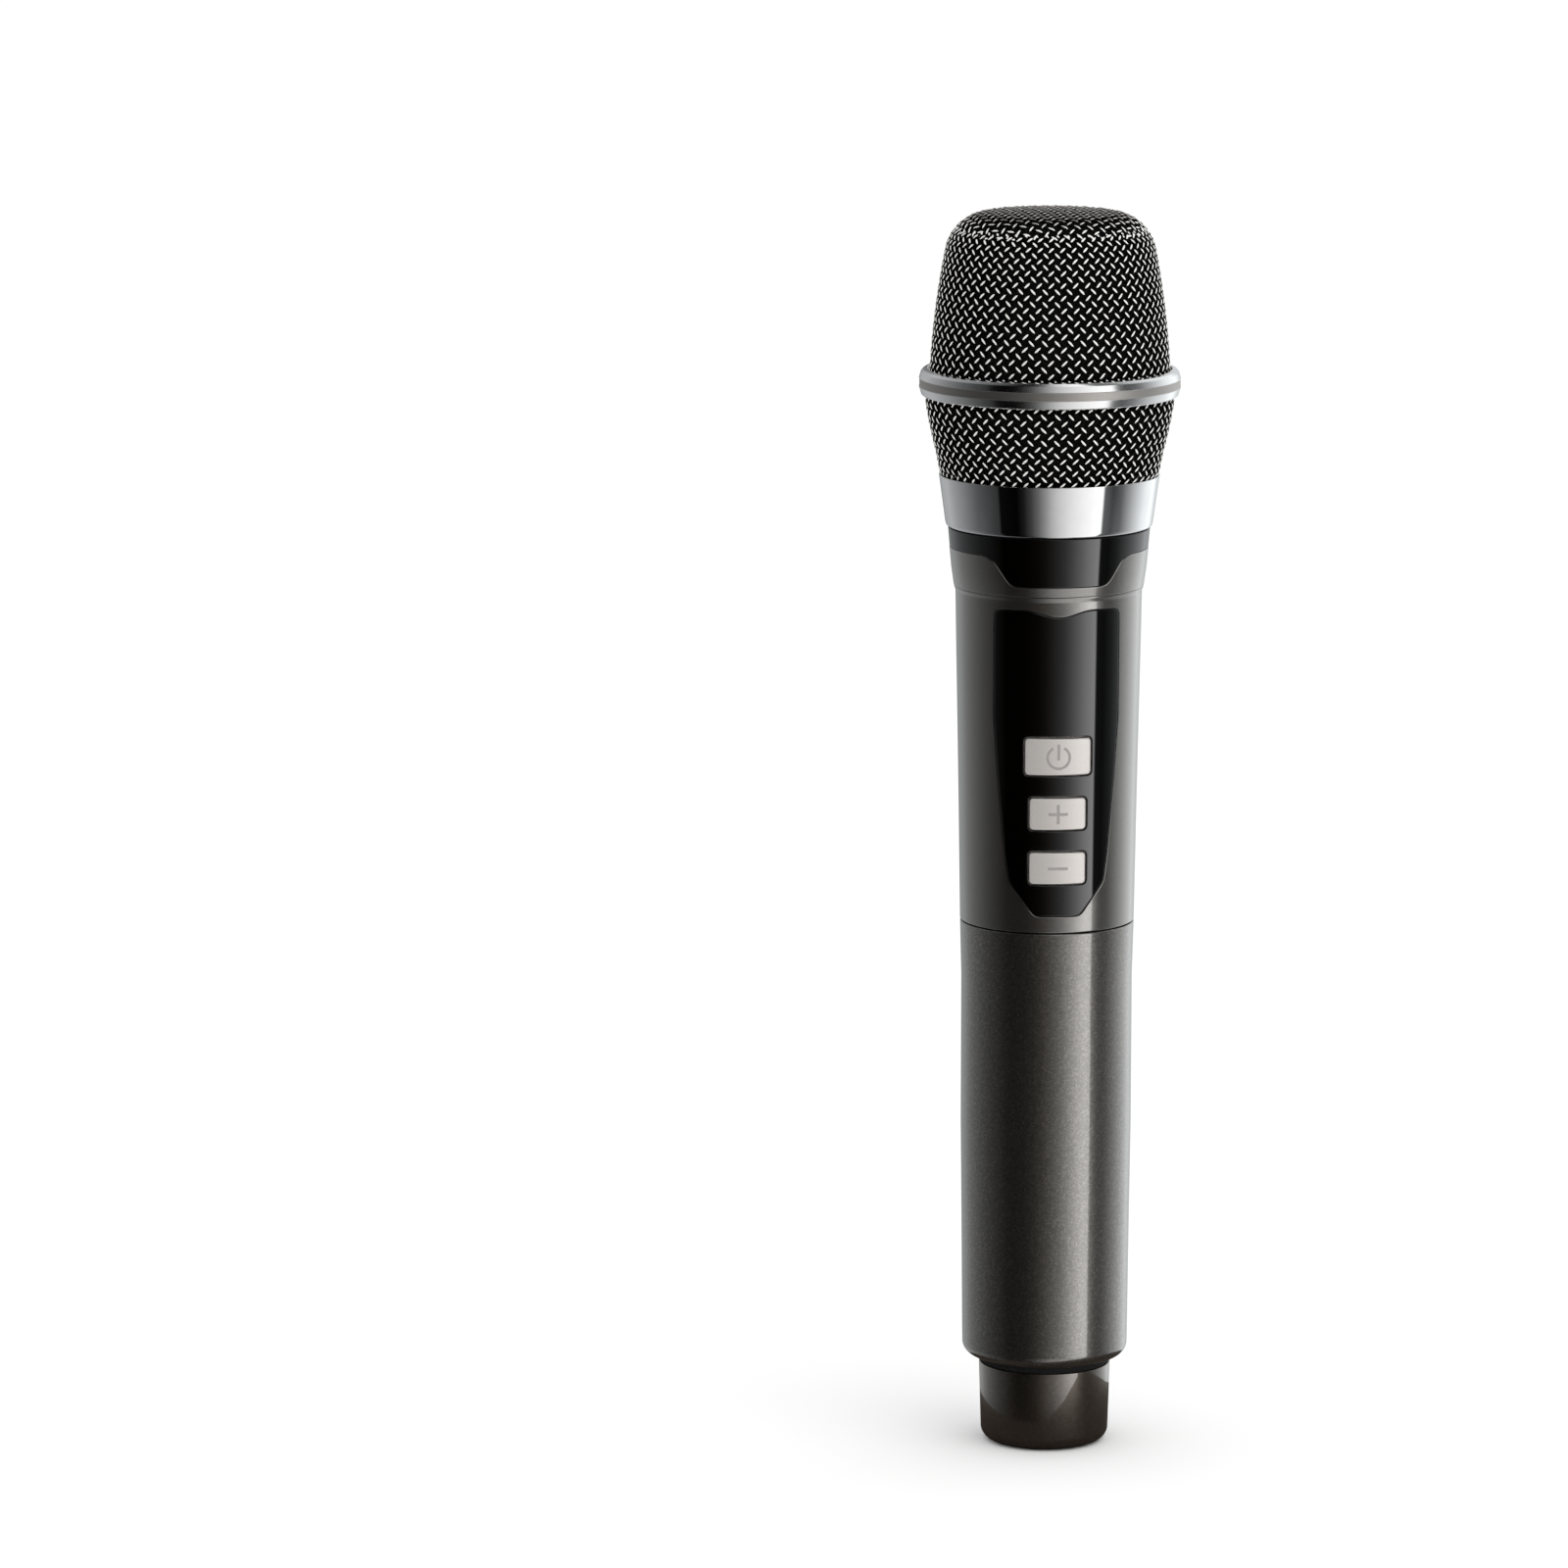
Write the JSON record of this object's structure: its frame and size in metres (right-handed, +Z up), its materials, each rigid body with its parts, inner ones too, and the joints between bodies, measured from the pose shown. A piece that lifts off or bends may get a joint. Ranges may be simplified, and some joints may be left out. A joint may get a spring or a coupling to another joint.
{
  "type": "handheld wireless karaoke microphone",
  "caption": "Handheld wireless microphone with a woven wire grille, chrome collar, push buttons on a black panel and a screw-off battery sleeve.",
  "frame": {"origin": "centre of the tail's flat foot, on the surface that the microphone stands on", "axes": "+Z up along the microphone's axis towards the grille, -Y out of the control panel, +X to the right as the panel is seen"},
  "size_m": [0.0522, 0.0522, 0.2505],
  "materials": {
    "graphite_metal": "gloss",
    "graphite_plastic": "gloss",
    "black_gloss": "gloss",
    "button_silver": "satin",
    "chrome": "polished",
    "wire_mesh": "satin",
    "foam": "matte",
    "rubber": "matte",
    "black_plastic": "matte",
    "plated_steel": "satin",
    "aluminium": "satin",
    "cell_jacket": "gloss",
    "circuit_board": "satin",
    "copper": "satin",
    "wire_insulation": "satin",
    "film": "gloss"
  },
  "bodies": {
    "handle": {"upper_body_shell": "graphite_metal", "neck_shell": "graphite_plastic", "neck_trim": "black_gloss", "head_thread_ring": "black_plastic", "control_fascia": "black_gloss", "display_module": "black_plastic", "main_board": "circuit_board", "button_switches": "plated_steel", "rf_shield_can": "plated_steel", "controller_chip": "black_plastic", "board_capacitors": "aluminium", "board_screws": "plated_steel", "chassis_frame": "black_plastic", "body_thread_ring": "plated_steel", "battery_tray": "black_plastic", "battery_cell_left": "cell_jacket", "battery_cell_right": "cell_jacket", "battery_springs": "plated_steel", "battery_contacts": "plated_steel", "battery_leads": "wire_insulation", "tail_cap": "graphite_plastic", "tail_ring": "rubber", "antenna_coil": "copper", "antenna_lead": "wire_insulation", "capsule_shock_mount": "rubber", "capsule_chamber": "black_plastic", "capsule_housing": "aluminium", "capsule_cover": "aluminium", "capsule_diaphragm": "film", "voice_coil": "copper", "magnet": "plated_steel", "pole_plate": "plated_steel", "magnet_yoke": "plated_steel", "terminal_board": "circuit_board", "capsule_leads": "wire_insulation"},
    "sleeve_grommet": {"tail_grommet": "rubber"},
    "sleeve_seal": {"sleeve_o_ring": "rubber"},
    "sleeve": {"battery_sleeve": "graphite_metal", "sleeve_thread_ring": "plated_steel"},
    "head_seal": {"head_gasket": "rubber"},
    "head_liner": {"foam_windscreen": "foam"},
    "head": {"chrome_collar": "chrome", "grille_cup": "wire_mesh", "grille_band": "chrome", "grille_dome": "wire_mesh"},
    "power_key": {"power_button": "button_silver", "power_plunger": "black_plastic"},
    "plus_key": {"plus_button": "button_silver", "plus_plunger": "black_plastic"},
    "minus_key": {"minus_button": "button_silver", "minus_plunger": "black_plastic"}
  },
  "joints": [
    {"name": "power_press", "type": "slide", "parent": "handle", "child": "power_key", "axis": [0, 1, 0], "range_m": [0, 0.0005], "stiffness_N_per_m": 2000, "springref_m": -0.0003},
    {"name": "plus_press", "type": "slide", "parent": "handle", "child": "plus_key", "axis": [0, 1, 0], "range_m": [0, 0.0005], "stiffness_N_per_m": 2000, "springref_m": -0.0003},
    {"name": "minus_press", "type": "slide", "parent": "handle", "child": "minus_key", "axis": [0, 1, 0], "range_m": [0, 0.0005], "stiffness_N_per_m": 2000, "springref_m": -0.0003},
    {"name": "sleeve_pull", "type": "slide", "parent": "handle", "child": "sleeve_grommet", "axis": [0, 0, -1], "range_m": [0, 0.112]},
    {"name": "sleeve_thread", "type": "slide", "parent": "sleeve_grommet", "child": "sleeve_seal", "axis": [0, 0, -1], "range_m": [0, 0.00626]},
    {"name": "sleeve_turn", "type": "hinge", "parent": "sleeve_seal", "child": "sleeve", "pos_m": [0, 0, 0.1035], "axis": [0, 0, -1], "range_deg": [0, 900]},
    {"name": "head_lift", "type": "slide", "parent": "handle", "child": "head_seal", "axis": [0, 0, 1], "range_m": [0, 0.045]},
    {"name": "head_thread", "type": "slide", "parent": "head_seal", "child": "head_liner", "axis": [0, 0, 1], "range_m": [0, 0.00601]},
    {"name": "head_turn", "type": "hinge", "parent": "head_liner", "child": "head", "pos_m": [0, 0, 0.192], "axis": [0, 0, 1], "range_deg": [0, 1440]}
  ],
  "couplings": [
    {"joint": "head_thread", "follows": "head_turn", "m_per_rad": 0.00023873},
    {"joint": "sleeve_thread", "follows": "sleeve_turn", "m_per_rad": 0.00039789}
  ]
}
